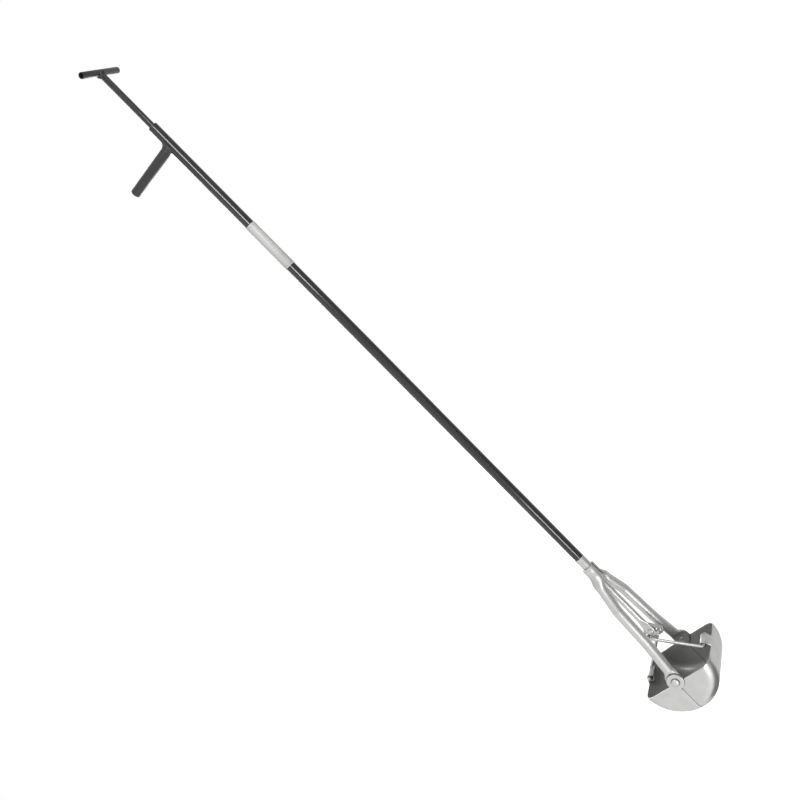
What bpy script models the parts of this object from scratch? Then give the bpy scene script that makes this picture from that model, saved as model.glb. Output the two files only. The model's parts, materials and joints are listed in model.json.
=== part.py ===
"""Post hole scoop: a long handled clamshell scoop for lifting loose soil out of a deep, narrow hole.

A push rod slides in the main tube. Its crosshead carries two crossed links, which swing two
pressed steel bowl halves about a pair of pivots at the ends of a fork. Pulling the T-bar up
opens the bowl, and pushing it down closes it. The model is at rest with the bowl closed.

Heights are measured from the bowl's pivots. The origin of the whole is where the hand holds the
tool: on the main tube's axis, level with the side handle. X is the way the halves open, Y is
along the pivots, and Z is up the tool.
"""

import math

import bmesh
import bpy
from mathutils import Matrix, Vector

# Fits
GAP = 0.0003
RUNNING_GAP = 0.0003
PIVOT_GAP = 0.0004
CHAMFER = 0.0006

# Main tube, rod and T-bar
TUBE_DIAMETER = 0.025
TUBE_WALL = 0.002
TUBE_FOOT_Z = 0.352
TUBE_ABOVE_HANDLE = 0.0577
ROD_DIAMETER = 0.016
ROD_JOINT_Z = 0.640
ROD_STUD_DIAMETER = 0.009
ROD_STUD_LENGTH = 0.025
T_BAR_ABOVE_TUBE = 0.1803
T_BAR_LENGTH = 0.146
T_BAR_DIAMETER = 0.016
T_BAR_WALL = 0.0018
T_BAR_WELD = 0.0048
TOP_BUSH_HEIGHT = 0.004
TOP_BUSH_EDGE = 0.0025
BUSH_LENGTH = 0.024
LABEL_FOOT_Z = 1.3457
LABEL_LENGTH = 0.137
LABEL_THICKNESS = 0.0004

# Side handle
HANDLE_Z = 1.749
HANDLE_REACH = 0.167
HANDLE_DIAMETER = 0.025
HANDLE_WALL = 0.002
HANDLE_CAP_HEIGHT = 0.004
HANDLE_CAP_EDGE = 0.0028
HANDLE_CAP_PLUG = 0.012
HANDLE_WELD_TOP = 0.012
HANDLE_WELD_UNDER = 0.006
HANDLE_WELD_SIDE = 0.0024

# Fork
STEM_FOOT_Z = 0.270
STEM_SPIGOT_LENGTH = 0.060
LOWER_BUSH_FLANGE = 0.003
LOWER_BUSH_OVERHANG = 0.0012
ARM_DIAMETER = 0.026
ARM_WALL = 0.002
ARM_TOP_Z = 0.322
ARM_CRESCENT_FOOT_Z = 0.297
ARM_ROUND_Z = 0.258
ARM_CRESCENT_THICKNESS = 0.0050
ARM_CRESCENT_BEND_RADIUS = 0.030
ARM_KINK_Y = 0.0525
ARM_KINK_Z = 0.205
ARM_BEND_RADIUS = 0.022
ARM_SPREAD_Y = 0.062
ARM_SPREAD_Z = 0.100
ARM_SPREAD_RADIUS = 0.150
ARM_SHOULDER_Z = 0.029
TONGUE_TOP_Z = 0.013
TONGUE_THICKNESS = 0.0055
TONGUE_RADIUS = 0.0200

# Pivots
CHEEK_OUTER_Y = 0.093
PIVOT_DIAMETER = 0.011
PIVOT_HEAD_DIAMETER = 0.020
PIVOT_HEAD_HEIGHT = 0.0060
PIVOT_PROUD = 0.0010

# Bowl
SHEET = 0.0025
RIM_Z = -0.0045
BOWL_REACH_X = 0.099
BOWL_DEPTH = 0.0995
BOWL_CORNER = 0.027
EAR_RADIUS = 0.021
JOGGLE_LENGTH = 0.006

# Rolled lug on each lip
LUG_WIDTH = 0.040
EYE_X = 0.0836
EYE_Z = 0.0052
EYE_RADIUS = 0.0095
EYE_WRAP = math.radians(298)

# Crosshead and links
LINK_DIAMETER = 0.008
LINK_PIVOT_X = 0.0155
LINK_PIVOT_Z = 0.090
LINK_OFFSET_Y = 0.0105
LINK_FOOT_Y = 0.0290
LINK_BEND_RADIUS = 0.008
LINK_TOP_HOOK = 0.012
LINK_FOOT_HOOK = 0.0270
HOOK_SHIFT_X = 0.0024
HOOK_SHIFT_Z = 0.0009
CROSSHEAD_THICKNESS = 0.005
CROSSHEAD_TOP_Z = 0.118
CROSSHEAD_LOBE_RADIUS = 0.0125
CROSSHEAD_WAIST = 0.011
LINK_HOLE_DIAMETER = 0.013
ROD_TONGUE_THICKNESS = 0.005
ROD_TONGUE_WIDTH = 0.021
ROD_TONGUE_FOOT_Z = 0.074
ROD_TAPER = 0.022
RIVET_DIAMETER = 0.008
RIVET_HEAD_DIAMETER = 0.013
RIVET_HEAD_HEIGHT = 0.0028
RIVET_PROUD = 0.0012
RIVET_Z = 0.098

# Facets
TUBE_SIDES = 32
ARM_SIDES = 24
ROD_SIDES = 24
BOWL_STEPS_ROUND = 50
BOWL_STEPS_HALF = 13
CORNER_STEPS = 5
WIRE_RESOLUTION = 3

# Sizes that follow from those above
TUBE_TOP_Z = HANDLE_Z + TUBE_ABOVE_HANDLE
T_BAR_Z = TUBE_TOP_Z + T_BAR_ABOVE_TUBE
TUBE_RADIUS = TUBE_DIAMETER / 2
TUBE_BORE = TUBE_RADIUS - TUBE_WALL
ROD_RADIUS = ROD_DIAMETER / 2
GUIDE_BORE = ROD_RADIUS + RUNNING_GAP
CHEEK_INNER_Y = CHEEK_OUTER_Y - SHEET
JOGGLE = SHEET + GAP
TONGUE_Y = CHEEK_INNER_Y - GAP - TONGUE_THICKNESS / 2
PIVOT_RADIUS = PIVOT_DIAMETER / 2
EAR_HOLE = PIVOT_RADIUS + PIVOT_GAP
HOOK_X = EYE_X + HOOK_SHIFT_X
HOOK_Z = EYE_Z + HOOK_SHIFT_Z
ROD_TONGUE_TOP_Z = CROSSHEAD_TOP_Z + 0.001
# With 50 steps the facet at the seam lies square to the seam's plane.
BOWL_STEP = 2 * math.pi / BOWL_STEPS_ROUND


def clear_scene():
    for obj in list(bpy.data.objects):
        bpy.data.objects.remove(obj, do_unlink=True)


def collection(name):
    made = bpy.data.collections.new(name)
    bpy.context.scene.collection.children.link(made)
    return made


def finish(name, colour, roughness, metallic):
    """A plain surface for one sub-part."""
    made = bpy.data.materials.new(name)
    made.use_nodes = True
    shader = made.node_tree.nodes["Principled BSDF"]
    shader.inputs["Base Color"].default_value = (*colour, 1)
    shader.inputs["Roughness"].default_value = roughness
    shader.inputs["Metallic"].default_value = metallic
    return made


def black_paint(name):
    return finish(name, (0.045, 0.045, 0.048), 0.35, 0.0)


def zinc(name):
    return finish(name, (0.62, 0.62, 0.61), 0.38, 0.9)


def put(obj, parent, material=None, location=(0, 0, 0), rotation=(0, 0, 0)):
    """Hang an object on its parent empty, in the tool's collection."""
    obj.parent = parent
    obj.location = location
    obj.rotation_euler = rotation
    if material is not None:
        obj.data.materials.clear()
        obj.data.materials.append(material)
    if obj.name not in PARTS.objects:
        PARTS.objects.link(obj)
    return obj


def empty(name, parent=None, location=(0, 0, 0)):
    made = bpy.data.objects.new(name, None)
    made.empty_display_size = 0.02
    made.parent = parent
    made.location = location
    PARTS.objects.link(made)
    return made


def smooth(obj, angle=35):
    obj.data.shade_smooth()
    obj.data.set_sharp_from_angle(angle=math.radians(angle))


def turned(name, profile, sides=TUBE_SIDES, closed=True):
    """A Screw about local Z. The profile runs down its outer side and back up its bore."""
    mesh = bpy.data.meshes.new(name)
    count = len(profile)
    edges = [(i, (i + 1) % count) for i in range(count if closed else count - 1)]
    mesh.from_pydata([(radius, 0, height) for radius, height in profile], edges, [])
    obj = bpy.data.objects.new(name, mesh)
    screw = obj.modifiers.new("Turn", "SCREW")
    screw.steps = sides
    screw.render_steps = sides
    screw.use_merge_vertices = True
    screw.merge_threshold = 0.00005
    screw.use_smooth_shade = True
    return obj


def ring_profile(outer, bore, foot, top, chamfer=0.0):
    """The closed profile of a tube or a bush, with a small chamfer on its outer edges."""
    if chamfer <= 0:
        return [(outer, top), (outer, foot), (bore, foot), (bore, top)]
    return [
        (outer - chamfer, top),
        (outer, top - chamfer),
        (outer, foot + chamfer),
        (outer - chamfer, foot),
        (bore, foot),
        (bore, top),
    ]


def arc(centre_a, centre_b, radius, start, end, steps):
    """Points (a, b) along an arc, from the start angle to the end angle, in radians."""
    angles = [start + (end - start) * i / steps for i in range(steps + 1)]
    return [(centre_a + radius * math.cos(t), centre_b + radius * math.sin(t)) for t in angles]


def round_cutter(name, radius, length, parent, location, rotation, sides=TUBE_SIDES):
    """A cylinder along its local Z that cuts and isn't part of the tool."""
    mesh = bpy.data.meshes.new(name)
    shape = bmesh.new()
    bmesh.ops.create_cone(
        shape,
        cap_ends=True,
        segments=sides,
        radius1=radius,
        radius2=radius,
        depth=length,
    )
    shape.to_mesh(mesh)
    shape.free()
    obj = bpy.data.objects.new(name, mesh)
    obj.parent = parent
    obj.location = location
    obj.rotation_euler = rotation
    obj.hide_render = True
    obj.display_type = "WIRE"
    CUTTERS.objects.link(obj)
    return obj


def cut(obj, cutter, name):
    boolean = obj.modifiers.new(name, "BOOLEAN")
    boolean.operation = "DIFFERENCE"
    boolean.solver = "EXACT"
    boolean.object = cutter


def lofted(name, outer_rings, inner_rings=()):
    """A skin through rings of as many points each. Inner rings make it a hollow, open at its top."""
    shape = bmesh.new()

    def rows(rings):
        return [[shape.verts.new(point) for point in ring] for ring in rings]

    def strip(first, second, turned_over=False):
        count = len(first)
        for i in range(count):
            corners = [first[i], first[(i + 1) % count], second[(i + 1) % count], second[i]]
            shape.faces.new(reversed(corners) if turned_over else corners)

    outer = rows(outer_rings)
    for upper, lower in zip(outer, outer[1:]):
        strip(upper, lower)
    shape.faces.new(outer[-1])
    if inner_rings:
        inner = rows(inner_rings)
        for upper, lower in zip(inner, inner[1:]):
            strip(upper, lower, turned_over=True)
        shape.faces.new(reversed(inner[-1]))
        strip(inner[0], outer[0])
    else:
        shape.faces.new(reversed(outer[0]))
    bmesh.ops.recalc_face_normals(shape, faces=shape.faces)
    mesh = bpy.data.meshes.new(name)
    shape.to_mesh(mesh)
    shape.free()
    return bpy.data.objects.new(name, mesh)


def filleted_path(corners, radii, steps):
    """Points of a route with its corners rounded. Each corner has its own bend radius."""
    points = [Vector(corners[0])]
    for before, corner, after, radius in zip(corners, corners[1:], corners[2:], radii):
        corner = Vector(corner)
        back = (Vector(before) - corner).normalized()
        ahead = (Vector(after) - corner).normalized()
        half_angle = back.angle(ahead) / 2
        start = corner + back * (radius / math.tan(half_angle))
        centre = corner + (back + ahead).normalized() * (radius / math.sin(half_angle))
        axis = back.cross(start - centre).normalized()
        sweep = math.pi - 2 * half_angle
        for i in range(steps + 1):
            turn = Matrix.Rotation(sweep * i / steps, 3, axis)
            points.append(centre + turn @ (start - centre))
    points.append(Vector(corners[-1]))
    return points


def bent_rod(name, points, diameter, resolution=WIRE_RESOLUTION):
    """A round bar along a route, as a curve with filled ends."""
    curve = bpy.data.curves.new(name, "CURVE")
    curve.dimensions = "3D"
    curve.bevel_depth = diameter / 2
    curve.bevel_resolution = resolution
    curve.use_fill_caps = True
    spline = curve.splines.new("POLY")
    spline.points.add(len(points) - 1)
    for place, point in zip(spline.points, points):
        place.co = (*point, 1)
    return bpy.data.objects.new(name, curve)


def ease(value):
    """0 to 1 with level ends."""
    value = min(max(value, 0.0), 1.0)
    return value * value * (3 - 2 * value)


def pressed_section(half_flat, half_thickness, curvature, count=ARM_SIDES):
    """Outline of a pressed tube: two straight sides and two round edges, evenly spaced round it.

    It gives (across, outward) pairs. With half_flat 0 it is a circle. With a curvature, the
    outline wraps round a centre on the inward side.
    """
    edge = math.pi * half_thickness
    around = 2 * edge + 4 * half_flat
    outline = []
    for i in range(count):
        run = around * i / count
        if run < edge / 2:
            turn = run / half_thickness
            spot = (half_flat + half_thickness * math.cos(turn), half_thickness * math.sin(turn))
        elif run < edge / 2 + 2 * half_flat:
            spot = (half_flat - (run - edge / 2), half_thickness)
        elif run < 1.5 * edge + 2 * half_flat:
            turn = math.pi / 2 + (run - edge / 2 - 2 * half_flat) / half_thickness
            spot = (half_thickness * math.cos(turn) - half_flat, half_thickness * math.sin(turn))
        elif run < 1.5 * edge + 4 * half_flat:
            spot = (run - 1.5 * edge - 3 * half_flat, -half_thickness)
        else:
            turn = 1.5 * math.pi + (run - 1.5 * edge - 4 * half_flat) / half_thickness
            spot = (half_flat + half_thickness * math.cos(turn), half_thickness * math.sin(turn))
        outline.append(spot)
    if curvature == 0:
        return outline
    bend = 1 / curvature
    return [
        ((bend + outward) * math.sin(across / bend), (bend + outward) * math.cos(across / bend) - bend)
        for across, outward in outline
    ]


def make_shaft(frame):
    tube = turned(
        "main_tube", ring_profile(TUBE_RADIUS, TUBE_BORE, TUBE_FOOT_Z, TUBE_TOP_Z, CHAMFER / 2)
    )
    put(tube, frame, black_paint("main_tube"))

    top = TUBE_TOP_Z + GAP
    spigot = TUBE_BORE - GAP
    edge = TOP_BUSH_EDGE
    rounding = arc(TUBE_RADIUS - edge, top + TOP_BUSH_HEIGHT - edge, edge, math.pi / 2, 0, 4)
    profile = rounding + [
        (TUBE_RADIUS, top),
        (spigot, top),
        (spigot, top - BUSH_LENGTH),
        (GUIDE_BORE, top - BUSH_LENGTH),
        (GUIDE_BORE, top + TOP_BUSH_HEIGHT),
    ]
    put(turned("top_bush", profile), frame, black_paint("top_bush"))

    inner = TUBE_RADIUS + GAP
    label = turned(
        "label_band",
        ring_profile(inner + LABEL_THICKNESS, inner, LABEL_FOOT_Z, LABEL_FOOT_Z + LABEL_LENGTH),
    )
    put(label, frame, finish("label_band", (0.60, 0.60, 0.61), 0.4, 0.3))


def make_side_handle(frame):
    """A tube square to the main tube, towards -X, coped to it, with a rounded end and a weld."""
    radius = HANDLE_DIAMETER / 2
    cope = round_cutter(
        "cut_handle_cope", TUBE_RADIUS + GAP, 0.06, frame, (0, 0, HANDLE_Z), (0, 0, 0)
    )
    pose = dict(location=(0, 0, HANDLE_Z), rotation=(0, -math.pi / 2, 0))
    shoulder = HANDLE_REACH - HANDLE_CAP_HEIGHT
    bore = radius - HANDLE_WALL
    tube = turned("side_handle", ring_profile(radius, bore, 0.002, shoulder))
    put(tube, frame, black_paint("side_handle"), **pose)
    cut(tube, cope, "Cope")

    foot = shoulder + GAP
    edge = HANDLE_CAP_EDGE
    profile = [(0, HANDLE_REACH)]
    profile += arc(radius - edge, HANDLE_REACH - edge, edge, math.pi / 2, 0, 4)
    profile += [
        (radius, foot),
        (bore - GAP, foot),
        (bore - GAP, foot - HANDLE_CAP_PLUG),
        (0, foot - HANDLE_CAP_PLUG),
    ]
    cap = turned("side_handle_cap", profile, closed=False)
    put(cap, frame, black_paint("side_handle_cap"), **pose)

    bead = handle_weld("side_handle_weld", radius)
    put(bead, frame, black_paint("side_handle_weld"), location=(0, 0, HANDLE_Z))
    cut(bead, cope, "Clear of the main tube")
    handle_room = round_cutter(
        "cut_handle_room",
        radius + GAP,
        2 * HANDLE_REACH,
        frame,
        (0, 0, HANDLE_Z),
        (0, -math.pi / 2, 0),
    )
    cut(bead, handle_room, "Clear of the handle")


def handle_weld(name, radius):
    """A hollow fillet round the handle's root, widest above and below, where the tubes meet square."""
    shape = bmesh.new()
    root = 0.001
    skin = GAP + 0.0002
    rings = []
    for i in range(TUBE_SIDES):
        turn = 2 * math.pi * i / TUBE_SIDES
        face_on = math.sin(turn) ** 2
        widest = HANDLE_WELD_UNDER + (HANDLE_WELD_TOP - HANDLE_WELD_UNDER) * (1 + math.sin(turn)) / 2
        leg = HANDLE_WELD_SIDE + (widest - HANDLE_WELD_SIDE) * face_on

        def spot(away, rise, into=0.0):
            """A point at a rise off the handle's surface and a distance away from the tube's."""
            out = radius + rise
            side = out * math.cos(turn)
            depth = math.sqrt(max(TUBE_RADIUS**2 - side**2, 0))
            return shape.verts.new((into - depth - away, side, out * math.sin(turn)))

        rings.append([
            spot(0, -root, into=4 * root),
            spot(leg, -root),
            spot(leg, skin),
            spot(leg * 0.55, leg * 0.14 + skin),
            spot(leg * 0.27, leg * 0.32 + skin),
            spot(leg * 0.08, leg * 0.66 + skin),
            spot(skin, leg),
            spot(0, leg, into=root),
        ])
    for i, first in enumerate(rings):
        second = rings[(i + 1) % len(rings)]
        for j in range(len(first)):
            k = (j + 1) % len(first)
            shape.faces.new((first[j], second[j], second[k], first[k]))
    bmesh.ops.recalc_face_normals(shape, faces=shape.faces)
    mesh = bpy.data.meshes.new(name)
    shape.to_mesh(mesh)
    shape.free()
    bead = bpy.data.objects.new(name, mesh)
    smooth(bead)
    return bead


def make_rod(frame, slide):
    """The push rod in two lengths, painted above and plated below, with its T-bar."""
    bar_radius = T_BAR_DIAMETER / 2
    cope = round_cutter(
        "cut_rod_cope",
        bar_radius + GAP,
        T_BAR_LENGTH,
        slide,
        (0, 0, T_BAR_Z),
        (math.pi / 2, 0, 0),
    )
    stud = ROD_STUD_DIAMETER / 2
    socket_top = ROD_JOINT_Z + ROD_STUD_LENGTH + GAP
    profile = [
        (0, T_BAR_Z),
        (ROD_RADIUS, T_BAR_Z),
        (ROD_RADIUS, ROD_JOINT_Z + GAP),
        (stud + GAP, ROD_JOINT_Z + GAP),
        (stud + GAP, socket_top),
        (0, socket_top),
    ]
    upper = turned("upper_rod", profile, sides=TUBE_SIDES, closed=False)
    put(upper, slide, black_paint("upper_rod"))
    cut(upper, cope, "Cope")

    bar = turned(
        "t_bar",
        ring_profile(bar_radius, bar_radius - T_BAR_WALL, -T_BAR_LENGTH / 2, T_BAR_LENGTH / 2),
    )
    pose = dict(location=(0, 0, T_BAR_Z), rotation=(math.pi / 2, 0, 0))
    put(bar, slide, black_paint("t_bar"), **pose)

    under = T_BAR_Z - bar_radius
    weld_profile = [
        (ROD_RADIUS + T_BAR_WELD, T_BAR_Z - bar_radius / 2),
        (ROD_RADIUS + T_BAR_WELD * 0.8, under + T_BAR_WELD * 0.2),
        (ROD_RADIUS + T_BAR_WELD * 0.35, under - T_BAR_WELD * 0.5),
        (ROD_RADIUS + GAP, under - T_BAR_WELD),
        (ROD_RADIUS + GAP, T_BAR_Z - bar_radius / 2),
    ]
    weld = turned("t_bar_weld", weld_profile)
    put(weld, slide, black_paint("t_bar_weld"))
    cut(weld, cope, "Clear of the T-bar")

    make_lower_rod(slide)


def make_lower_rod(slide):
    """A round rod with a stud on top, forged to a flat tongue at its foot."""
    stud = ROD_STUD_DIAMETER / 2
    half_thickness = ROD_TONGUE_THICKNESS / 2
    half_width = ROD_TONGUE_WIDTH / 2
    tongue_y = -half_thickness

    def ring(height, thick, wide, centre_y):
        flat = max(wide - thick, 0)
        return [
            Vector((across, centre_y - outward, height))
            for across, outward in pressed_section(flat, thick, 0, ROD_SIDES)
        ]

    rings = [
        ring(ROD_JOINT_Z + ROD_STUD_LENGTH, stud - CHAMFER, stud - CHAMFER, 0),
        ring(ROD_JOINT_Z + ROD_STUD_LENGTH - CHAMFER, stud, stud, 0),
        ring(ROD_JOINT_Z, stud, stud, 0),
        ring(ROD_JOINT_Z, ROD_RADIUS, ROD_RADIUS, 0),
    ]
    steps = 5
    for i in range(steps + 1):
        share = i / steps
        height = ROD_TONGUE_TOP_Z + ROD_TAPER * (1 - share)
        thick = ROD_RADIUS + (half_thickness - ROD_RADIUS) * ease(share)
        wide = ROD_RADIUS + (half_width - ROD_RADIUS) * ease(share)
        rings.append(ring(height, thick, wide, tongue_y * ease(share)))
    for turn in (0, 20, 40, 55, 70, 80):
        turn = math.radians(turn)
        height = ROD_TONGUE_FOOT_Z + half_width * (1 - math.sin(turn))
        rings.append(ring(height, half_thickness, half_width * math.cos(turn), tongue_y))
    rod = lofted("lower_rod", rings)
    smooth(rod)
    put(rod, slide, zinc("lower_rod"))
    hole = round_cutter(
        "cut_tongue_rivet",
        RIVET_DIAMETER / 2 + GAP,
        0.03,
        slide,
        (0, 0, RIVET_Z),
        (math.pi / 2, 0, 0),
        sides=16,
    )
    cut(rod, hole, "Rivet hole")


def make_stem(frame):
    """The plated tube that carries the arms, with a spigot up into the main tube."""
    spigot = TUBE_BORE - GAP
    bore = ROD_RADIUS + 2 * RUNNING_GAP
    seat = spigot + GAP
    seat_top = STEM_FOOT_Z + BUSH_LENGTH + GAP
    shoulder = TUBE_FOOT_Z - GAP
    top = shoulder + STEM_SPIGOT_LENGTH
    profile = [
        (spigot - CHAMFER, top),
        (spigot, top - CHAMFER),
        (spigot, shoulder),
        (TUBE_RADIUS, shoulder),
        (TUBE_RADIUS, STEM_FOOT_Z),
        (seat, STEM_FOOT_Z),
        (seat, seat_top),
        (bore, seat_top),
        (bore, top),
    ]
    put(turned("fork_stem", profile), frame, zinc("fork_stem"))

    flange_foot = STEM_FOOT_Z - GAP - LOWER_BUSH_FLANGE
    flange_top = STEM_FOOT_Z - GAP
    outer = TUBE_RADIUS - LOWER_BUSH_OVERHANG
    profile = [
        (spigot, STEM_FOOT_Z + BUSH_LENGTH),
        (spigot, flange_top),
        (outer, flange_top),
        (outer, flange_foot + 0.001),
        (outer - 0.001, flange_foot),
        (GUIDE_BORE, flange_foot),
        (GUIDE_BORE, STEM_FOOT_Z + BUSH_LENGTH),
    ]
    bush = turned("lower_bush", profile)
    put(bush, frame, finish("lower_bush", (0.62, 0.60, 0.56), 0.4, 0.6))


def arm_sections():
    """The arm's rings, outside and inside, in the plane of the fork, for the arm towards -Y."""
    half_crescent = ARM_CRESCENT_THICKNESS / 2
    half_tongue = TONGUE_THICKNESS / 2
    arm_radius = ARM_DIAMETER / 2
    wrap_radius = TUBE_RADIUS + GAP + half_crescent
    outer_face = TONGUE_Y + half_tongue
    corners = [
        (0, wrap_radius, ARM_TOP_Z),
        (0, wrap_radius, ARM_CRESCENT_FOOT_Z),
        (0, ARM_KINK_Y, ARM_KINK_Z),
        (0, ARM_SPREAD_Y, ARM_SPREAD_Z),
        (0, outer_face - arm_radius, ARM_SHOULDER_Z),
    ]
    radii = (ARM_CRESCENT_BEND_RADIUS, ARM_BEND_RADIUS, ARM_SPREAD_RADIUS)
    route = filleted_path(corners, radii, 24)

    def at_height(height):
        for upper, lower in zip(route, route[1:]):
            if height >= lower.z and upper.z > lower.z:
                break
        share = (upper.z - height) / (upper.z - lower.z)
        return upper.lerp(lower, share), (lower - upper).normalized()

    around = math.pi * ARM_DIAMETER
    around_tongue = 4 * (TONGUE_RADIUS - half_tongue) + 2 * math.pi * half_tongue

    def form(height):
        """Half thickness, distance round and curvature of the pressed tube at a height."""
        if height >= ARM_ROUND_Z:
            share = ease((ARM_CRESCENT_FOOT_Z - height) / (ARM_CRESCENT_FOOT_Z - ARM_ROUND_Z))
            thick = half_crescent + (arm_radius - half_crescent) * share
            return thick, around, (1 - share) / wrap_radius
        share = ease((ARM_SHOULDER_Z - height) / (ARM_SHOULDER_Z - TONGUE_TOP_Z))
        thick = arm_radius + (half_tongue - arm_radius) * share
        return thick, around + (around_tongue - around) * share, 0

    def ring(height, inset, squeeze=1.0):
        thick, length, curvature = form(height)
        if height > ARM_SHOULDER_Z:
            centre, along = at_height(height)
        else:
            centre, along = Vector((0, outer_face - thick, height)), Vector((0, 0, -1))
        flat = max((length - 2 * math.pi * thick) / 4, 0)
        if squeeze < 1:
            flat = max((flat + thick) * squeeze - thick, 0)
        outward = Vector((0, 1, 0))
        outward = (outward - along * outward.dot(along)).normalized()
        return [
            centre + Vector((across, 0, 0)) + outward * out
            for across, out in pressed_section(flat, thick - inset, curvature)
        ]

    crescent = [ARM_TOP_Z, (ARM_TOP_Z + ARM_CRESCENT_FOOT_Z) / 2, ARM_CRESCENT_FOOT_Z]
    opening = [
        ARM_CRESCENT_FOOT_Z + (ARM_ROUND_Z - ARM_CRESCENT_FOOT_Z) * i / 5 for i in range(1, 6)
    ]
    kink = [ARM_KINK_Z + 0.003, ARM_KINK_Z, ARM_KINK_Z - 0.003]
    spread = [ARM_SPREAD_Z + 0.006, ARM_SPREAD_Z - 0.006]
    press = [ARM_SHOULDER_Z + (TONGUE_TOP_Z - ARM_SHOULDER_Z) * i / 5 for i in range(6)]
    heights = crescent + opening + kink + spread + press
    outer = [ring(height, 0) for height in heights]
    for turn in (0, 22, 42, 60, 76):
        turn = math.radians(turn)
        drop = TONGUE_RADIUS * math.sin(turn)
        outer.append([
            spot - Vector((0, 0, drop)) for spot in ring(0, 0, squeeze=math.cos(turn))
        ])
    hollow = [
        height for height in heights if height >= ARM_ROUND_Z or form(height)[0] > 1.5 * ARM_WALL
    ]
    inner = [ring(height, ARM_WALL) for height in hollow]
    return outer, inner


def make_arm(name, frame, facing):
    """One arm of the fork. facing is -1 for the arm towards -Y and 1 for its twin."""
    outer, inner = arm_sections()

    def turned_to(rings):
        return [[Vector((facing * spot.x, facing * spot.y, spot.z)) for spot in ring] for ring in rings]

    arm = lofted(name, turned_to(outer), turned_to(inner))
    smooth(arm)
    put(arm, frame, zinc(name))
    hole = round_cutter(
        "cut_" + name,
        PIVOT_RADIUS + GAP,
        0.03,
        frame,
        (0, facing * TONGUE_Y, 0),
        (math.pi / 2, 0, 0),
    )
    cut(arm, hole, "Pivot hole")


def domed_rivet(name, shank, head, head_height, under_head, tail, sides):
    """A rivet along local Z, with a domed head on top of its shank and a chamfered tail."""
    rise = head_height * 0.75
    skirt = head_height - rise
    dome = [
        (head * math.sin(turn), under_head + skirt + rise * math.cos(turn))
        for turn in (math.pi / 2 * i / 5 for i in range(1, 6))
    ]
    profile = [(0, under_head + head_height)] + dome + [
        (head, under_head),
        (shank, under_head),
        (shank, tail + CHAMFER),
        (shank - CHAMFER, tail),
        (0, tail),
    ]
    return turned(name, profile, sides=sides, closed=False)


def make_pivot(name, frame, facing):
    """The rivet through one arm's tongue and both halves' ears."""
    tail = TONGUE_Y - TONGUE_THICKNESS / 2 - PIVOT_PROUD
    under_head = CHEEK_OUTER_Y + JOGGLE + GAP
    rivet = domed_rivet(
        name, PIVOT_RADIUS, PIVOT_HEAD_DIAMETER / 2, PIVOT_HEAD_HEIGHT, under_head, tail, sides=24
    )
    tilt = math.pi / 2 if facing < 0 else -math.pi / 2
    put(rivet, frame, zinc(name), rotation=(tilt, 0, 0))


def bowl_radius(turn):
    """Outer radius about the pivots, from the lip (0) to the deepest point (a quarter turn)."""
    return 1 / math.hypot(math.cos(turn) / BOWL_REACH_X, math.sin(turn) / BOWL_DEPTH)


def bowl_stations(turn):
    """(radius, y) pairs of the sheet's outer side, from the plain ear round to the joggled one."""
    reach = bowl_radius(turn)
    foot = EAR_RADIUS + JOGGLE_LENGTH
    mid_cheek = (foot + reach - BOWL_CORNER) / 2
    side = []
    for i in range(CORNER_STEPS + 1):
        bend = math.pi / 2 * i / CORNER_STEPS
        side.append((
            reach - BOWL_CORNER * (1 - math.sin(bend)),
            CHEEK_OUTER_Y - BOWL_CORNER * (1 - math.cos(bend)),
        ))
    plain = [(foot, CHEEK_OUTER_Y), (mid_cheek, CHEEK_OUTER_Y)] + side
    across = [(radius, -y) for radius, y in plain]
    across += [(reach, -LUG_WIDTH / 2), (reach, 0), (reach, LUG_WIDTH / 2)]
    across += list(reversed(plain))
    return across


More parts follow.
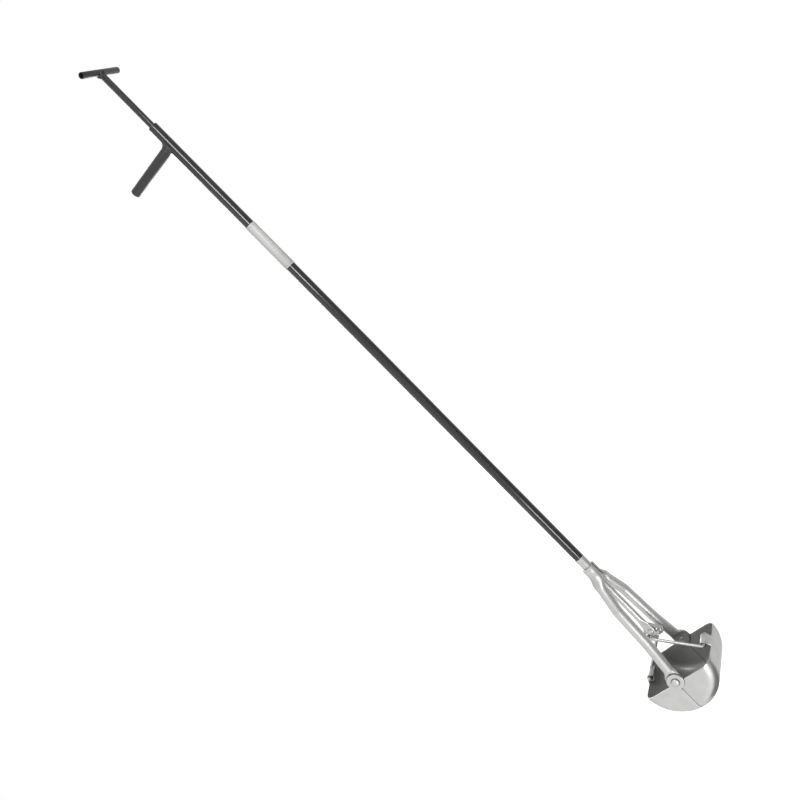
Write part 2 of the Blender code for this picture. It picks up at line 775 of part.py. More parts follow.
def make_bowl_half(name, pivot, side):
    """One pressed half, drawn with its lip towards +X and then turned to its own side.

    Its sheet is one open surface: two round ears, two flat cheeks, a rounded bottom, and a lug
    rolled from the middle of its lip. One ear is joggled outwards to pass the other half's ear.
    """
    shape = bmesh.new()

    def ear(facing, y):
        rims = []
        for radius in (EAR_HOLE, EAR_RADIUS):
            rims.append([
                shape.verts.new((
                    radius * math.cos(BOWL_STEP * i), facing * y, -radius * math.sin(BOWL_STEP * i)
                ))
                for i in range(BOWL_STEPS_ROUND)
            ])
        hole, edge = rims
        for i in range(BOWL_STEPS_ROUND):
            k = (i + 1) % BOWL_STEPS_ROUND
            shape.faces.new((hole[i], edge[i], edge[k], hole[k]))
        return edge

    plain_edge = ear(-1, CHEEK_OUTER_Y)
    joggled_edge = ear(1, CHEEK_OUTER_Y + JOGGLE)
    columns = []
    for i in range(BOWL_STEPS_HALF + 1):
        turn = BOWL_STEP * i
        column = [plain_edge[i]]
        for radius, y in bowl_stations(turn):
            spot = (radius * math.cos(turn), y, -radius * math.sin(turn))
            column.append(shape.verts.new(spot))
        column.append(joggled_edge[i])
        columns.append(column)
    walls = []
    for left, right in zip(columns, columns[1:]):
        for i in range(len(left) - 1):
            walls.append(shape.faces.new((left[i], left[i + 1], right[i + 1], right[i])))
    for spot, normal in (((0, 0, RIM_Z), (0, 0, 1)), ((GAP / 2, 0, 0), (-1, 0, 0))):
        edges = {edge for face in walls for edge in face.edges}
        corners = {corner for face in walls for corner in face.verts}
        bmesh.ops.bisect_plane(
            shape,
            geom=list(corners) + list(edges) + walls,
            plane_co=spot,
            plane_no=normal,
            dist=0.00001,
        )
        axis = Vector(normal)
        origin = Vector(spot)
        beyond = [
            face
            for face in shape.faces
            if (face.calc_center_median() - origin).dot(axis) > 0
            and Vector((face.calc_center_median().x, 0, face.calc_center_median().z)).length
            > EAR_RADIUS
        ]
        bmesh.ops.delete(shape, geom=beyond, context="FACES")
        walls = [
            face
            for face in shape.faces
            if Vector((face.calc_center_median().x, 0, face.calc_center_median().z)).length
            > EAR_RADIUS
        ]
    roll_lug(shape)
    bmesh.ops.remove_doubles(shape, verts=shape.verts, dist=0.00002)
    bmesh.ops.recalc_face_normals(shape, faces=shape.faces)
    mesh = bpy.data.meshes.new(name)
    shape.to_mesh(mesh)
    shape.free()
    bowl = bpy.data.objects.new(name, mesh)
    smooth(bowl)
    solidify = bowl.modifiers.new("Sheet", "SOLIDIFY")
    solidify.thickness = SHEET
    solidify.offset = -1
    solidify.use_even_offset = True
    put(bowl, pivot, zinc(name), rotation=(0, 0, 0 if side > 0 else math.pi))
    return bowl


def lug_route():
    """(x, z) points up from the lip and round the eye, on the sheet's outer side."""
    lip_turn = math.asin(-RIM_Z / BOWL_REACH_X)
    lip = (bowl_radius(lip_turn) * math.cos(lip_turn), RIM_Z)
    away_x = EYE_X - lip[0]
    away_z = EYE_Z - lip[1]
    distance = math.hypot(away_x, away_z)
    lean = math.atan2(away_z, away_x) - math.asin(EYE_RADIUS / distance)
    touch = lean - math.pi / 2
    steps = 14
    return arc(EYE_X, EYE_Z, EYE_RADIUS, touch, touch + EYE_WRAP, steps)


def roll_lug(shape):
    """Extend the lip's middle along the lug's route."""
    shape.verts.ensure_lookup_table()
    half = LUG_WIDTH / 2 + 0.00001
    lip = [
        edge
        for edge in shape.edges
        if edge.is_boundary
        and all(abs(v.co.z - RIM_Z) < 0.00002 and abs(v.co.y) < half and v.co.x > 0 for v in edge.verts)
    ]
    for x, z in lug_route():
        grown = bmesh.ops.extrude_edge_only(shape, edges=lip)["geom"]
        lip = [item for item in grown if isinstance(item, bmesh.types.BMEdge)]
        for vertex in (item for item in grown if isinstance(item, bmesh.types.BMVert)):
            vertex.co.x = x
            vertex.co.z = z


def flat_plate(name, outlines, thickness):
    """A flat outline with holes, extruded to a plate about its local XY plane."""
    curve = bpy.data.curves.new(name, "CURVE")
    curve.dimensions = "2D"
    curve.fill_mode = "BOTH"
    curve.extrude = thickness / 2
    for outline in outlines:
        spline = curve.splines.new("POLY")
        spline.points.add(len(outline) - 1)
        for place, (across, up) in zip(spline.points, outline):
            place.co = (across, up, 0, 1)
        spline.use_cyclic_u = True
    return bpy.data.objects.new(name, curve)


def circle(centre_x, centre_y, radius, sides=20):
    return arc(centre_x, centre_y, radius, 0, 2 * math.pi, sides)[:-1]


def crosshead_outline():
    """Two round eyes joined by a body that rises to the crosshead's top and dips below."""
    lobe = CROSSHEAD_LOBE_RADIUS
    right = arc(LINK_PIVOT_X, LINK_PIVOT_Z, lobe, math.radians(-75), math.radians(70), 8)
    shoulder = [(CROSSHEAD_WAIST, CROSSHEAD_TOP_Z - 0.003), (CROSSHEAD_WAIST - 0.003, CROSSHEAD_TOP_Z)]
    half = right + shoulder
    mirrored = [(-x, z) for x, z in reversed(half)]
    return half + mirrored


def make_crosshead(slide):
    thickness = CROSSHEAD_THICKNESS
    middle = GAP + thickness / 2
    outlines = [
        crosshead_outline(),
        circle(LINK_PIVOT_X, LINK_PIVOT_Z, LINK_HOLE_DIAMETER / 2),
        circle(-LINK_PIVOT_X, LINK_PIVOT_Z, LINK_HOLE_DIAMETER / 2),
        circle(0, RIVET_Z, RIVET_DIAMETER / 2 + GAP, 16),
    ]
    plate = flat_plate("crosshead", outlines, thickness)
    put(plate, slide, zinc("crosshead"), location=(0, middle, 0), rotation=(math.pi / 2, 0, 0))

    rivet = domed_rivet(
        "crosshead_rivet",
        RIVET_DIAMETER / 2,
        RIVET_HEAD_DIAMETER / 2,
        RIVET_HEAD_HEIGHT,
        ROD_TONGUE_THICKNESS + GAP,
        -(GAP + thickness + RIVET_PROUD),
        sides=16,
    )
    put(
        rivet,
        slide,
        zinc("crosshead_rivet"),
        location=(0, 0, RIVET_Z),
        rotation=(math.pi / 2, 0, 0),
    )


def make_link(name, pivot, side):
    """A bent round rod. side is 1 for the link that works the half towards +X."""
    top = Vector((-LINK_PIVOT_X, 0, LINK_PIVOT_Z))
    corners = [
        (-LINK_PIVOT_X, LINK_TOP_HOOK, LINK_PIVOT_Z),
        (-LINK_PIVOT_X, -LINK_OFFSET_Y, LINK_PIVOT_Z),
        (HOOK_X, -LINK_FOOT_Y, HOOK_Z),
        (HOOK_X, LINK_FOOT_HOOK, HOOK_Z),
    ]
    route = filleted_path(corners, (LINK_BEND_RADIUS, LINK_BEND_RADIUS), 5)
    link = bent_rod(name, [point - top for point in route], LINK_DIAMETER)
    put(link, pivot, zinc(name), rotation=(0, 0, 0 if side > 0 else math.pi))


clear_scene()
PARTS = collection("post_hole_scoop")
CUTTERS = collection("cutters")

tool = empty("tool_frame", location=(0, 0, -HANDLE_Z))
rod_slide = empty("rod_slide", tool)
right_jaw = empty("right_jaw_pivot", tool)
left_jaw = empty("left_jaw_pivot", tool)
right_link_pivot = empty("right_link_pivot", rod_slide, (-LINK_PIVOT_X, 0, LINK_PIVOT_Z))
left_link_pivot = empty("left_link_pivot", rod_slide, (LINK_PIVOT_X, 0, LINK_PIVOT_Z))

make_shaft(tool)
make_side_handle(tool)
make_stem(tool)
make_arm("front_arm", tool, -1)
make_arm("rear_arm", tool, 1)
make_pivot("front_pivot_rivet", tool, -1)
make_pivot("rear_pivot_rivet", tool, 1)
make_rod(tool, rod_slide)
make_crosshead(rod_slide)
make_link("right_link", right_link_pivot, 1)
make_link("left_link", left_link_pivot, -1)
make_bowl_half("right_bowl", right_jaw, 1)
make_bowl_half("left_bowl", left_jaw, -1)
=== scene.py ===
"""The look of the post hole scoop: finishes, edges, light, floor and the photograph's camera.

Everything is in metres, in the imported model's frame. The origin is on the main tube's axis, level
with the side handle, +Z is up the tool and the bowl's pivots lie along Y. Colours are linear.
"""

import json
import math

import bpy
from mathutils import Matrix, Vector


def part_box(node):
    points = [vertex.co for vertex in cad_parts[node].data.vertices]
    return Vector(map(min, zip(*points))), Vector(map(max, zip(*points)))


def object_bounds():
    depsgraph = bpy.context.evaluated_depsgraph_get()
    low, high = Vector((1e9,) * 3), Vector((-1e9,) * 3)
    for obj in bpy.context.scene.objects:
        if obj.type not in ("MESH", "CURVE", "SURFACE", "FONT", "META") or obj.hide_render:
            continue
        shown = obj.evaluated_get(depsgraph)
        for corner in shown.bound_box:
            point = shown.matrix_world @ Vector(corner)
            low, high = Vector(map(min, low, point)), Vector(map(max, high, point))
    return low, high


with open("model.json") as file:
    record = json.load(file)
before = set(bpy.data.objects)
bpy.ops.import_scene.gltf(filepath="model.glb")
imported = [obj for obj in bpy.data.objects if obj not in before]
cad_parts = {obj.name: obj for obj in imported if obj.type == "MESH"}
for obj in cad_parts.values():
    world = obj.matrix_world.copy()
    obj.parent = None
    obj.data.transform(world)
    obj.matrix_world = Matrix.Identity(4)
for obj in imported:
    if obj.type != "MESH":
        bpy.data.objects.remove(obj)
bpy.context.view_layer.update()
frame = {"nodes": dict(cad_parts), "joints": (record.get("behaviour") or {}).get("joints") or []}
nodes = frame["nodes"]

# Places taken from the frame
JOINTS = {joint["name"]: joint for joint in frame["joints"]}
PIVOT = Vector(JOINTS["right_jaw_hinge"]["pos_m"])

# Camera, worked out from the photograph's lines and ends
IMAGE_WIDTH = 800
SENSOR_WIDTH = 36.0
CAMERA_AZIMUTH = math.radians(28.480)
CAMERA_DISTANCE = 2.4529
CAMERA_ABOVE_PIVOTS = 1.0291
CAMERA_YAW = math.radians(-0.9266)
CAMERA_TILT = math.radians(-2.2585)
CAMERA_ROLL = math.radians(-44.7077)
CAMERA_FOCAL_PIXELS = 1016.24
CAMERA_NEAREST = 0.05
CAMERA_FARTHEST = 200

# Floor and the world's light
FLOOR_BELOW_BOWL = 0.85
FLOOR_SIZE = 60.0
FLOOR_GREY = 0.8
FLOOR_GLOW = 0.86
WORLD_FILL = 0.40
WORLD_SHOWN = 1.0

# Edges: smooth shading, their rounding, and their wear, by the cosine of a corner's turn and by patches
SMOOTH_ANGLE = math.radians(32)
MERGE_DISTANCE = 0.000002
EDGE_ROUNDING = 0.0004
WEAR_RADIUS = 0.0012
WEAR_PATCH = 0.010
WORN_TURN = 0.80
UNWORN_TURN = 0.97
WEAR_LEAST = 0.2
WEAR_NOISE_FROM = 0.40
WEAR_NOISE_TO = 0.62

# Noise that runs alike in every direction, or in long marks along one axis
EVEN = (1, 1, 1)
ALONG_X = (0.02, 1, 1)
ALONG_Y = (1, 0.02, 1)
ALONG_Z = (1, 1, 0.02)

# Zinc plate: the greys of its clouds, spangle and rubbed edges, and its sheen
ZINC_LIGHT = (0.46, 0.46, 0.446)
ZINC_DARK = (0.41, 0.415, 0.405)
ZINC_SPANGLE = (0.49, 0.49, 0.476)
ZINC_RUBBED = (0.68, 0.68, 0.67)
ZINC_METALLIC = 0.85
ZINC_TINT = (0.6, 0.6, 0.6, 1)
ZINC_SPECULAR = 0.3
ZINC_DARK_ROUGHNESS = 0.47
ZINC_LIGHT_ROUGHNESS = 0.42
CLOUD_SIZE = 0.030
SPANGLE_SIZE = 0.005
SPANGLE_SHARE = 0.30
MARK_SIZE = 0.0025
MARK_ROUGHNESS = 0.02
MARK_BUMP = 0.03
MARK_DEPTH = 0.00004

# The crosshead is darker plate, and the bowl is smoother plate whose inside is coloured with painted
# shade
CROSSHEAD_LIGHT = (0.36, 0.36, 0.35)
CROSSHEAD_DARK = (0.27, 0.275, 0.27)
CROSSHEAD_WEAR = 0.6
BOWL_WEAR = 0.7
BOWL_POLISH = 0.13
# Painted shade: the bowl's inside gets this darker grey and less metal, standing in for the shade inside
# the bowl
BOWL_INSIDE_SHADE = (0.29, 0.29, 0.281)
INSIDE_SHADE_METALLIC = 0.25

# Where the painted shade of the inside begins, from the pivots: how far a face looks back, the lugs'
# foot, the ears' reach
FACING_INWARD = -0.012
FACING_OUTWARD = -0.002
LUG_FOOT_Z = -0.005
LUG_FOOT_BLEND = 0.001
EARS_END = 0.050
EARS_GONE = 0.055

# Painted shadow in narrow rings round the ears and round the pivots' heads, and painted shade with dirt
# beside the seam of the bowl
DIRT_AND_SHADE = (0.07, 0.07, 0.068)
BOWL_DIRT_AND_SHADE = 0.85
TONGUE_SHADOW = 0.8
SEAM_HALF_WIDTH = 0.0009
SEAM_CORE = 0.7
EAR_RADIUS = 0.021
HEAD_RADIUS = 0.010
SHADOW_RING_START = 0.0005
SHADOW_RING_FULL = 0.0001
SHADOW_RING_WIDTH = 0.0013
SHADOW_RING_CORE = 0.6

# Black paints, each with its roughness, its grey where dusty and its grey where clean
GLOSS = (0.12, (0.026, 0.026, 0.027), (0.016, 0.016, 0.017))
SATIN = (0.40, (0.018, 0.018, 0.019), (0.010, 0.010, 0.011))
PAINT_RUBBED = (0.10, 0.10, 0.10)
PAINT_WEAR = 0.5
PAINT_SPECULAR = 0.42
DUST_SIZE = 0.006
DUST_NOISE_FROM = 0.45
DUST_NOISE_TO = 0.80
DUST_ROUGHNESS = 1.25
PEEL_SIZE = 0.006
PEEL_BUMP = 0.02
PEEL_DEPTH = 0.00002

# The guide bush's plastic
GREASE_SIZE = 0.008
PLASTIC_GREASY = (0.40, 0.39, 0.37)
PLASTIC_CLEAN = (0.52, 0.51, 0.48)
PLASTIC_ROUGHNESS = (0.35, 0.55)
PLASTIC_GRAIN = 0.0015
PLASTIC_BUMP = 0.1
PLASTIC_DEPTH = 0.0001

# The label's paper, and the thin line near each of its ends
LABEL_DARK = (0.37, 0.37, 0.366)
LABEL_LIGHT = (0.40, 0.40, 0.396)
LABEL_FIBRES = (0.35, 0.35, 0.346)
LABEL_INK = (0.20, 0.20, 0.20)
LABEL_INSET = 0.006
LABEL_LINE = 0.0007
LABEL_PATCH = 0.025
LABEL_ROUGHNESS = (0.45, 0.58)
FIBRE_SIZE = 0.0010
FIBRE_STRETCH = (1, 1, 0.4)
FIBRE_SHARE = 0.25
FIBRE_BUMP = 0.08
FIBRE_DEPTH = 0.00006


def new_material(name):
    """An empty node material. It gives the material, its tree and its Principled shader."""
    made = bpy.data.materials.new(name)
    made.use_nodes = True
    return made, made.node_tree, made.node_tree.nodes["Principled BSDF"]


def add(tree, kind, **settings):
    """A node with its attributes and, where a name is an input's, its values set."""
    node = tree.nodes.new(kind)
    for key, value in settings.items():
        if hasattr(node, key):
            setattr(node, key, value)
        else:
            node.inputs[key.replace("_", " ").title()].default_value = value
    return node


def placed(tree, scale):
    """Object coordinates in metres, scaled."""
    coordinates = add(tree, "ShaderNodeTexCoord")
    mapping = add(tree, "ShaderNodeMapping")
    mapping.inputs["Scale"].default_value = scale
    tree.links.new(coordinates.outputs["Object"], mapping.inputs["Vector"])
    return mapping.outputs["Vector"]


def noise(tree, scale, size, detail=4.0, roughness=0.55):
    """Noise whose lumps are about size metres, stretched by scale."""
    texture = add(tree, "ShaderNodeTexNoise", scale=1 / size, detail=detail, roughness=roughness)
    tree.links.new(placed(tree, scale), texture.inputs["Vector"])
    return texture.outputs["Fac"]


def ramp(tree, value, low, high, from_low=0.3, from_high=0.7):
    """A value spread between two limits."""
    node = add(tree, "ShaderNodeMapRange", clamp=True)
    node.inputs["From Min"].default_value = from_low
    node.inputs["From Max"].default_value = from_high
    node.inputs["To Min"].default_value = low
    node.inputs["To Max"].default_value = high
    tree.links.new(value, node.inputs["Value"])
    return node.outputs["Result"]


def blended(tree, factor, first, second):
    """A colour between two colours or sockets."""
    node = add(tree, "ShaderNodeMix", data_type="RGBA")
    tree.links.new(factor, node.inputs["Factor"])
    for socket, colour in ((node.inputs["A"], first), (node.inputs["B"], second)):
        if hasattr(colour, "is_linked"):
            tree.links.new(colour, socket)
        else:
            socket.default_value = (*colour, 1)
    return node.outputs["Result"]


def bumped(tree, shader, height, strength, distance):
    """Bump on the shader from a height, in metres of depth."""
    node = add(tree, "ShaderNodeBump")
    node.inputs["Strength"].default_value = strength
    node.inputs["Distance"].default_value = distance
    tree.links.new(height, node.inputs["Height"])
    tree.links.new(node.outputs["Normal"], shader.inputs["Normal"])


def maths(tree, operation, first, second=None):
    """The sum, product or other function of one or two sockets or numbers."""
    node = add(tree, "ShaderNodeMath", operation=operation)
    for socket, value in zip(node.inputs, (first, second)):
        if hasattr(value, "is_linked"):
            tree.links.new(value, socket)
        elif value is not None:
            socket.default_value = value
    return node.outputs["Value"]


def edge_wear(tree):
    """1 on sharp edges and 0 away from them, broken up into patches."""
    rounded = add(tree, "ShaderNodeBevel", samples=4)
    rounded.inputs["Radius"].default_value = WEAR_RADIUS
    true = add(tree, "ShaderNodeNewGeometry")
    turn = add(tree, "ShaderNodeVectorMath", operation="DOT_PRODUCT")
    tree.links.new(rounded.outputs["Normal"], turn.inputs[0])
    tree.links.new(true.outputs["Normal"], turn.inputs[1])
    edge = ramp(tree, turn.outputs["Value"], 1.0, 0.0, WORN_TURN, UNWORN_TURN)
    lumps = noise(tree, EVEN, WEAR_PATCH)
    patches = ramp(tree, lumps, WEAR_LEAST, 1.0, WEAR_NOISE_FROM, WEAR_NOISE_TO)
    return maths(tree, "MULTIPLY", edge, patches)


def zinc(name, grain, light=ZINC_LIGHT, dark=ZINC_DARK, worn=0.0, polish=0.0):
    """Zinc plated steel.

    grain stretches the drawing marks, per axis, worn brightens its edges and polish smooths it.
    """
    made, tree, shader = new_material(name)
    clouds = noise(tree, EVEN, CLOUD_SIZE)
    spangle = noise(tree, EVEN, SPANGLE_SIZE, detail=1.0)
    marks = noise(tree, grain, MARK_SIZE, detail=2.0)
    colour = blended(tree, ramp(tree, clouds, 0.0, 1.0), dark, light)
    colour = blended(tree, ramp(tree, spangle, 0.0, SPANGLE_SHARE), colour, ZINC_SPANGLE)
    if worn:
        colour = blended(tree, maths(tree, "MULTIPLY", edge_wear(tree), worn), colour, ZINC_RUBBED)
    tree.links.new(colour, shader.inputs["Base Color"])
    drawn = ramp(tree, marks, -MARK_ROUGHNESS, MARK_ROUGHNESS)
    cloudy = ramp(tree, clouds, ZINC_DARK_ROUGHNESS - polish, ZINC_LIGHT_ROUGHNESS - polish)
    tree.links.new(maths(tree, "ADD", cloudy, drawn), shader.inputs["Roughness"])
    shader.inputs["Metallic"].default_value = ZINC_METALLIC
    shader.inputs["Specular Tint"].default_value = ZINC_TINT
    shader.inputs["Specular IOR Level"].default_value = ZINC_SPECULAR
    bumped(tree, shader, marks, MARK_BUMP, MARK_DEPTH)
    return made, tree, shader


def from_pivot(tree):
    """The shaded point's X, Y and Z from the pivots, and how far its face looks away from them."""
    coordinates = add(tree, "ShaderNodeTexCoord")
    reach = add(tree, "ShaderNodeVectorMath", operation="SUBTRACT")
    reach.inputs[1].default_value = PIVOT
    tree.links.new(coordinates.outputs["Object"], reach.inputs[0])
    apart = add(tree, "ShaderNodeSeparateXYZ")
    tree.links.new(reach.outputs["Vector"], apart.inputs["Vector"])
    facing = add(tree, "ShaderNodeVectorMath", operation="DOT_PRODUCT")
    tree.links.new(reach.outputs["Vector"], facing.inputs[0])
    tree.links.new(coordinates.outputs["Normal"], facing.inputs[1])
    return apart.outputs, facing.outputs["Value"]


def shadow_ring(tree, out, radius):
    """1 in a narrow ring round the pivots' axis, just outside a radius, and the way from the axis."""
    across = maths(tree, "MULTIPLY", out["X"], out["X"])
    upwards = maths(tree, "MULTIPLY", out["Z"], out["Z"])
    reach = maths(tree, "SQRT", maths(tree, "ADD", across, upwards))
    begins = ramp(tree, reach, 0.0, 1.0, radius - SHADOW_RING_START, radius + SHADOW_RING_FULL)
    core = radius + SHADOW_RING_WIDTH * SHADOW_RING_CORE
    ends = ramp(tree, reach, 1.0, 0.0, core, radius + SHADOW_RING_WIDTH)
    return maths(tree, "MULTIPLY", begins, ends), reach


def coated(tree, shader, mask, colour):
    """Lay a colour over the shader's colour where the mask is 1."""
    under = shader.inputs["Base Color"].links[0].from_socket
    tree.links.new(blended(tree, mask, under, colour), shader.inputs["Base Color"])


def ear_shadowed_arm(made, tree, shader):
    """Painted shadow on a fork arm's tongue along the edge of the ear that turns over it."""
    out, _facing = from_pivot(tree)
    ring, _reach = shadow_ring(tree, out, EAR_RADIUS)
    # Painted shadow of the ear's edge, laid on the tongue
    coated(tree, shader, maths(tree, "MULTIPLY", ring, TONGUE_SHADOW), DIRT_AND_SHADE)
    return made


def shaded_bowl(made, tree, shader, outer_ear_y):
    """A bowl half with painted shade on its inside, painted shadow round the ears and the pivots' heads,
    and painted shade with dirt by the seam.

    outer_ear_y is the sign of Y on the side where this half's ear lies over the other's.
    """
    out, facing = from_pivot(tree)
    inward = ramp(tree, facing, 1.0, 0.0, FACING_INWARD, FACING_OUTWARD)
    below_rim = ramp(tree, out["Z"], 1.0, 0.0, LUG_FOOT_Z - LUG_FOOT_BLEND, LUG_FOOT_Z)
    sideways = maths(tree, "ABSOLUTE", out["X"])
    by_pivot = ramp(tree, sideways, 1.0, 0.0, EARS_END, EARS_GONE)
    inside = maths(tree, "MULTIPLY", inward, maths(tree, "MAXIMUM", below_rim, by_pivot))
    # Painted shade: the inside is coloured darker and made less metallic
    coated(tree, shader, inside, BOWL_INSIDE_SHADE)
    metallic = ramp(tree, inside, ZINC_METALLIC, INSIDE_SHADE_METALLIC, 0.0, 1.0)
    tree.links.new(metallic, shader.inputs["Metallic"])
    ear_ring, reach = shadow_ring(tree, out, EAR_RADIUS)
    under_ear = maths(tree, "LESS_THAN", maths(tree, "MULTIPLY", out["Y"], outer_ear_y), 0.0)
    ear_ring = maths(tree, "MULTIPLY", ear_ring, under_ear)
    head_ring, _reach = shadow_ring(tree, out, HEAD_RADIUS)
    seam = ramp(tree, sideways, 1.0, 0.0, SEAM_HALF_WIDTH * SEAM_CORE, SEAM_HALF_WIDTH)
    past_ear = maths(tree, "GREATER_THAN", reach, EAR_RADIUS)
    seam = maths(tree, "MULTIPLY", seam, past_ear)
    joints = maths(tree, "MAXIMUM", maths(tree, "MAXIMUM", ear_ring, head_ring), seam)
    # Painted shadow round the ears and the heads, and painted shade with dirt beside the seam
    coated(tree, shader, maths(tree, "MULTIPLY", joints, BOWL_DIRT_AND_SHADE), DIRT_AND_SHADE)
    return made


def black_paint(name, roughness, dusty, clean):
    """Black paint with faint dust, a slight orange peel and edges rubbed thin."""
    made, tree, shader = new_material(name)
    dust = noise(tree, EVEN, DUST_SIZE, detail=6.0)
    peel = noise(tree, EVEN, PEEL_SIZE, detail=1.0)
    dusting = ramp(tree, dust, 0.0, 1.0, DUST_NOISE_FROM, DUST_NOISE_TO)
    paint = blended(tree, dusting, clean, dusty)
    rubbed = maths(tree, "MULTIPLY", edge_wear(tree), PAINT_WEAR)
    tree.links.new(blended(tree, rubbed, paint, PAINT_RUBBED), shader.inputs["Base Color"])
    tree.links.new(ramp(tree, dust, roughness, roughness * DUST_ROUGHNESS), shader.inputs["Roughness"])
    shader.inputs["Specular IOR Level"].default_value = PAINT_SPECULAR
    bumped(tree, shader, peel, PEEL_BUMP, PEEL_DEPTH)
    return made


def guide_plastic(name):
    """Pale moulded plastic, a little greasy from the rod."""
    made, tree, shader = new_material(name)
    grease = noise(tree, EVEN, GREASE_SIZE)
    colour = blended(tree, ramp(tree, grease, 0.0, 1.0), PLASTIC_GREASY, PLASTIC_CLEAN)
    tree.links.new(colour, shader.inputs["Base Color"])
    tree.links.new(ramp(tree, grease, *PLASTIC_ROUGHNESS), shader.inputs["Roughness"])
    bumped(tree, shader, noise(tree, EVEN, PLASTIC_GRAIN), PLASTIC_BUMP, PLASTIC_DEPTH)
    return made


def label_paper(name, foot, top):
    """A bare silver grey label between two heights, with a fine grain and a thin line by each end."""
    made, tree, shader = new_material(name)
    fibres = noise(tree, FIBRE_STRETCH, FIBRE_SIZE, detail=5.0)
    shade = noise(tree, EVEN, LABEL_PATCH)
    plain = blended(tree, ramp(tree, shade, 0.0, 1.0), LABEL_DARK, LABEL_LIGHT)
    colour = blended(tree, ramp(tree, fibres, 0.0, FIBRE_SHARE), plain, LABEL_FIBRES)
    coordinates = add(tree, "ShaderNodeTexCoord")
    apart = add(tree, "ShaderNodeSeparateXYZ")
    tree.links.new(coordinates.outputs["Object"], apart.inputs["Vector"])
    from_middle = maths(tree, "SUBTRACT", apart.outputs["Z"], (foot + top) / 2)
    line_height = (top - foot) / 2 - LABEL_INSET
    from_line = maths(tree, "SUBTRACT", maths(tree, "ABSOLUTE", from_middle), line_height)
    line = maths(tree, "LESS_THAN", maths(tree, "ABSOLUTE", from_line), LABEL_LINE / 2)
    tree.links.new(blended(tree, line, colour, LABEL_INK), shader.inputs["Base Color"])
    tree.links.new(ramp(tree, shade, *LABEL_ROUGHNESS), shader.inputs["Roughness"])
    bumped(tree, shader, fibres, FIBRE_BUMP, FIBRE_DEPTH)
    return made


def dress(name, material):
    """Give a CAD node its material and smooth its round faces, with its edges a little rounded."""
    obj = nodes[name]
    obj.data.materials.clear()
    obj.data.materials.append(material)
    for face in obj.data.polygons:
        face.use_smooth = True
        face.material_index = 0
    weld = obj.modifiers.new("Merge", "WELD")
    weld.merge_threshold = MERGE_DISTANCE
    bevel = obj.modifiers.new("Soft edges", "BEVEL")
    bevel.width = EDGE_ROUNDING
    bevel.segments = 2
    bevel.limit_method = "ANGLE"
    bevel.angle_limit = SMOOTH_ANGLE
    bevel.harden_normals = True
    bevel.use_clamp_overlap = True


def dress_all():
    """Every node's own finish."""
    for name in ("main_tube", "top_bush", "side_handle_weld", "upper_rod"):
        dress(name, black_paint(name + "_paint", *GLOSS))
    for name in ("side_handle", "side_handle_cap", "t_bar", "t_bar_weld"):
        dress(name, black_paint(name + "_paint", *SATIN))
    grains = {
        "fork_stem": ALONG_Z,
        "lower_rod": ALONG_Z,
        "left_link": ALONG_X,
        "right_link": ALONG_X,
        "crosshead_rivet": EVEN,
        "front_pivot_rivet": EVEN,
        "rear_pivot_rivet": EVEN,
    }
    for name, grain in grains.items():
        dress(name, zinc(name + "_zinc", grain)[0])
    plate = zinc("crosshead_zinc", ALONG_X, CROSSHEAD_LIGHT, CROSSHEAD_DARK, worn=CROSSHEAD_WEAR)
    dress("crosshead", plate[0])
    for name in ("front_arm", "rear_arm"):
        dress(name, ear_shadowed_arm(*zinc(name + "_zinc", ALONG_Z)))
    for name, outer_ear_y in (("left_bowl", -1), ("right_bowl", 1)):
        pressed = zinc(name + "_zinc", ALONG_Y, worn=BOWL_WEAR, polish=BOWL_POLISH)
        dress(name, shaded_bowl(*pressed, outer_ear_y))
    dress("lower_bush", guide_plastic("lower_bush_plastic"))
    foot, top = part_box("label_band")
    dress("label_band", label_paper("label_band_paper", foot[2], top[2]))


def photograph_camera():
    """The camera that took the photograph: near the level of the tool's middle, rolled by 45 degrees."""
    sine = math.sin(CAMERA_AZIMUTH)
    cosine = math.cos(CAMERA_AZIMUTH)
    up = Vector((0, 0, 1))
    ahead = Vector((-sine, cosine, 0))
    right = Vector((cosine, sine, 0))
    ahead, right = (
        ahead * math.cos(CAMERA_YAW) + right * math.sin(CAMERA_YAW),
        right * math.cos(CAMERA_YAW) - ahead * math.sin(CAMERA_YAW),
    )
    ahead, up = (
        ahead * math.cos(CAMERA_TILT) + up * math.sin(CAMERA_TILT),
        up * math.cos(CAMERA_TILT) - ahead * math.sin(CAMERA_TILT),
    )
    right, up = (
        right * math.cos(CAMERA_ROLL) + up * math.sin(CAMERA_ROLL),
        up * math.cos(CAMERA_ROLL) - right * math.sin(CAMERA_ROLL),
    )
    lens = bpy.data.cameras.new("photograph")
    lens.sensor_width = SENSOR_WIDTH
    lens.lens = CAMERA_FOCAL_PIXELS / IMAGE_WIDTH * SENSOR_WIDTH
    lens.clip_start = CAMERA_NEAREST
    lens.clip_end = CAMERA_FARTHEST
    camera = bpy.data.objects.new("photograph", lens)
    bpy.context.scene.collection.objects.link(camera)
    turn = Matrix((right, up, -ahead)).transposed().to_4x4()
    place = (sine * CAMERA_DISTANCE, -cosine * CAMERA_DISTANCE, PIVOT.z + CAMERA_ABOVE_PIVOTS)
    camera.matrix_world = Matrix.Translation(place) @ turn
    bpy.context.scene.camera = camera


def seen_directly(tree):
    """1 for rays that show the background: from the camera, in gloss and through glass."""
    path = add(tree, "ShaderNodeLightPath")
    total = path.outputs["Is Camera Ray"]
    for name in ("Is Glossy Ray", "Is Transmission Ray"):
        total = maths(tree, "MAXIMUM", total, path.outputs[name])
    return total


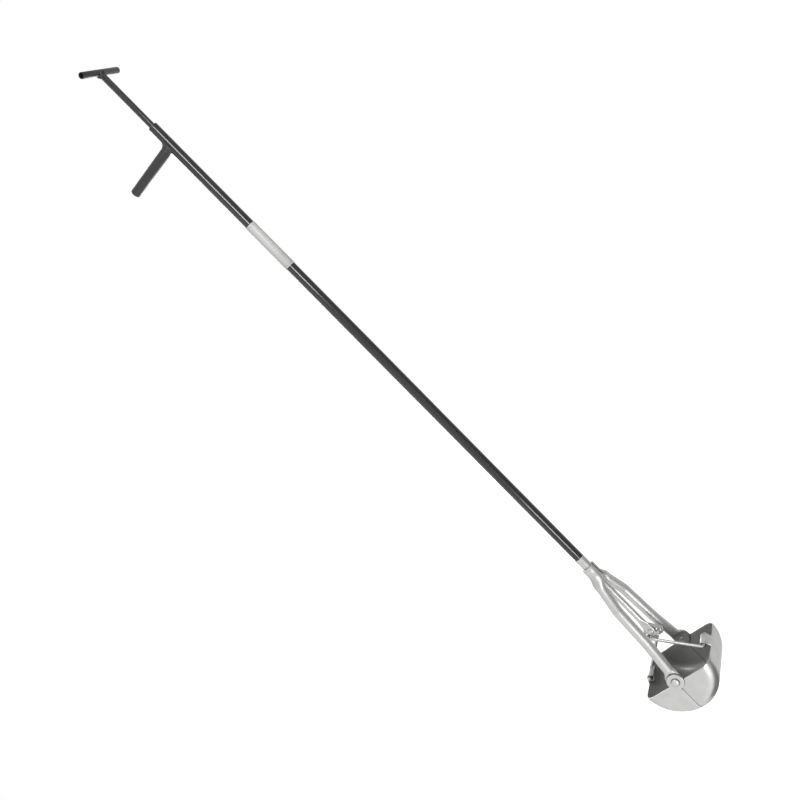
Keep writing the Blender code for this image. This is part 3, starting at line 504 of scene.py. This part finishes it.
def white_world():
    """White all round where it is seen, and a weaker light on what it shines on."""
    world = bpy.data.worlds.new("studio")
    bpy.context.scene.world = world
    world.use_nodes = True
    tree = world.node_tree
    fill = tree.nodes["Background"]
    fill.inputs["Color"].default_value = (1, 1, 1, 1)
    fill.inputs["Strength"].default_value = WORLD_FILL
    shown = add(tree, "ShaderNodeBackground")
    shown.inputs["Color"].default_value = (1, 1, 1, 1)
    shown.inputs["Strength"].default_value = WORLD_SHOWN
    mix = add(tree, "ShaderNodeMixShader")
    tree.links.new(seen_directly(tree), mix.inputs["Fac"])
    tree.links.new(fill.outputs["Background"], mix.inputs[1])
    tree.links.new(shown.outputs["Background"], mix.inputs[2])
    tree.links.new(mix.outputs["Shader"], tree.nodes["World Output"].inputs["Surface"])


def matte_grey(name, shade):
    """A grey without gloss. It gives the material, its tree and its Principled shader."""
    made, tree, shader = new_material(name)
    shader.inputs["Base Color"].default_value = (shade, shade, shade, 1)
    shader.inputs["Roughness"].default_value = 1.0
    shader.inputs["Specular IOR Level"].default_value = 0.0
    return made, tree, shader


def flat_sheet(name, corners, material):
    """One flat face between four corners."""
    mesh = bpy.data.meshes.new(name)
    mesh.from_pydata(corners, [], [(0, 1, 2, 3)])
    mesh.materials.append(material)
    sheet = bpy.data.objects.new(name, mesh)
    bpy.context.scene.collection.objects.link(sheet)
    return sheet


def level_corners(near, far, height):
    """The corners of a level rectangle between two opposite corners."""
    return [
        (near[0], near[1], height),
        (far[0], near[1], height),
        (far[0], far[1], height),
        (near[0], far[1], height),
    ]


def outwards(azimuth):
    """The level direction from the tool's axis at an azimuth in degrees, measured as the camera's is."""
    turn = math.radians(azimuth)
    return Vector((math.sin(turn), -math.cos(turn), 0))


def upright_corners(azimuth, distance, foot, top, width):
    """The corners of an upright rectangle that faces the tool's axis, between two heights."""
    away = outwards(azimuth)
    side = Vector((-away.y, away.x, 0)) * width / 2
    left = away * distance - side
    right = away * distance + side
    return [
        (left.x, left.y, foot),
        (right.x, right.y, foot),
        (right.x, right.y, top),
        (left.x, left.y, top),
    ]


def white_floor():
    """A plain white floor below the tool, which hangs from the hand. It keeps a soft shadow."""
    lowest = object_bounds()[0].z - FLOOR_BELOW_BOWL
    half = FLOOR_SIZE / 2
    made, tree, shader = matte_grey("floor_white", FLOOR_GREY)
    glow = add(tree, "ShaderNodeEmission")
    glow.inputs["Color"].default_value = (1, 1, 1, 1)
    strength = maths(tree, "MULTIPLY", seen_directly(tree), FLOOR_GLOW)
    tree.links.new(strength, glow.inputs["Strength"])
    both = add(tree, "ShaderNodeAddShader")
    tree.links.new(shader.outputs["BSDF"], both.inputs[0])
    tree.links.new(glow.outputs["Emission"], both.inputs[1])
    tree.links.new(both.outputs["Shader"], tree.nodes["Material Output"].inputs["Surface"])
    floor = flat_sheet("floor", level_corners((-half, -half), (half, half), lowest), made)


def grey_card(name, corners, shade):
    """A matte card out of the camera's sight, which darkens what the tool reflects."""
    card = flat_sheet(name, corners, matte_grey(name + "_cloth", shade)[0])
    card.visible_camera = False


def softbox(name, azimuth, distance, foot, top, width, radiance):
    """An upright area light that faces the tool's axis, between two heights.

    Radiance is the lamp's brightness, where 1 is white.
    """
    lamp = bpy.data.lights.new(name, "AREA")
    lamp.shape = "RECTANGLE"
    lamp.size = width
    lamp.size_y = top - foot
    lamp.energy = radiance * math.pi * width * (top - foot)
    light = bpy.data.objects.new(name, lamp)
    light.visible_camera = False
    away = outwards(azimuth)
    light.location = away * distance + Vector((0, 0, (foot + top) / 2))
    light.rotation_euler = away.to_track_quat("Z", "Y").to_euler()
    bpy.context.scene.collection.objects.link(light)


def studio():
    """The lamps, and two cards that darken the tool's right side and the bowl's lower right edge."""
    softbox("upper_strip", azimuth=27, distance=1.7, foot=-0.28, top=1.2, width=0.40, radiance=23)
    softbox("lower_strip", azimuth=27, distance=1.7, foot=-2.6, top=-2.03, width=0.40, radiance=20)
    softbox("left_box", azimuth=-50, distance=2.4, foot=-2.5, top=0.8, width=3.6, radiance=0.38)
    softbox("back_strip", azimuth=218, distance=1.9, foot=-2.6, top=1.0, width=0.5, radiance=5)
    beside = upright_corners(azimuth=90, distance=1.3, foot=-2.5, top=1.2, width=1.5)
    grey_card("right_card", beside, shade=0.5)
    below = level_corners(near=(-0.04, -0.25), far=(0.75, 0.27), height=-2.2)
    grey_card("low_card", below, shade=0.3)


dress_all()
photograph_camera()
white_world()
white_floor()
studio()

bpy.context.scene.view_settings.view_transform = "Standard"
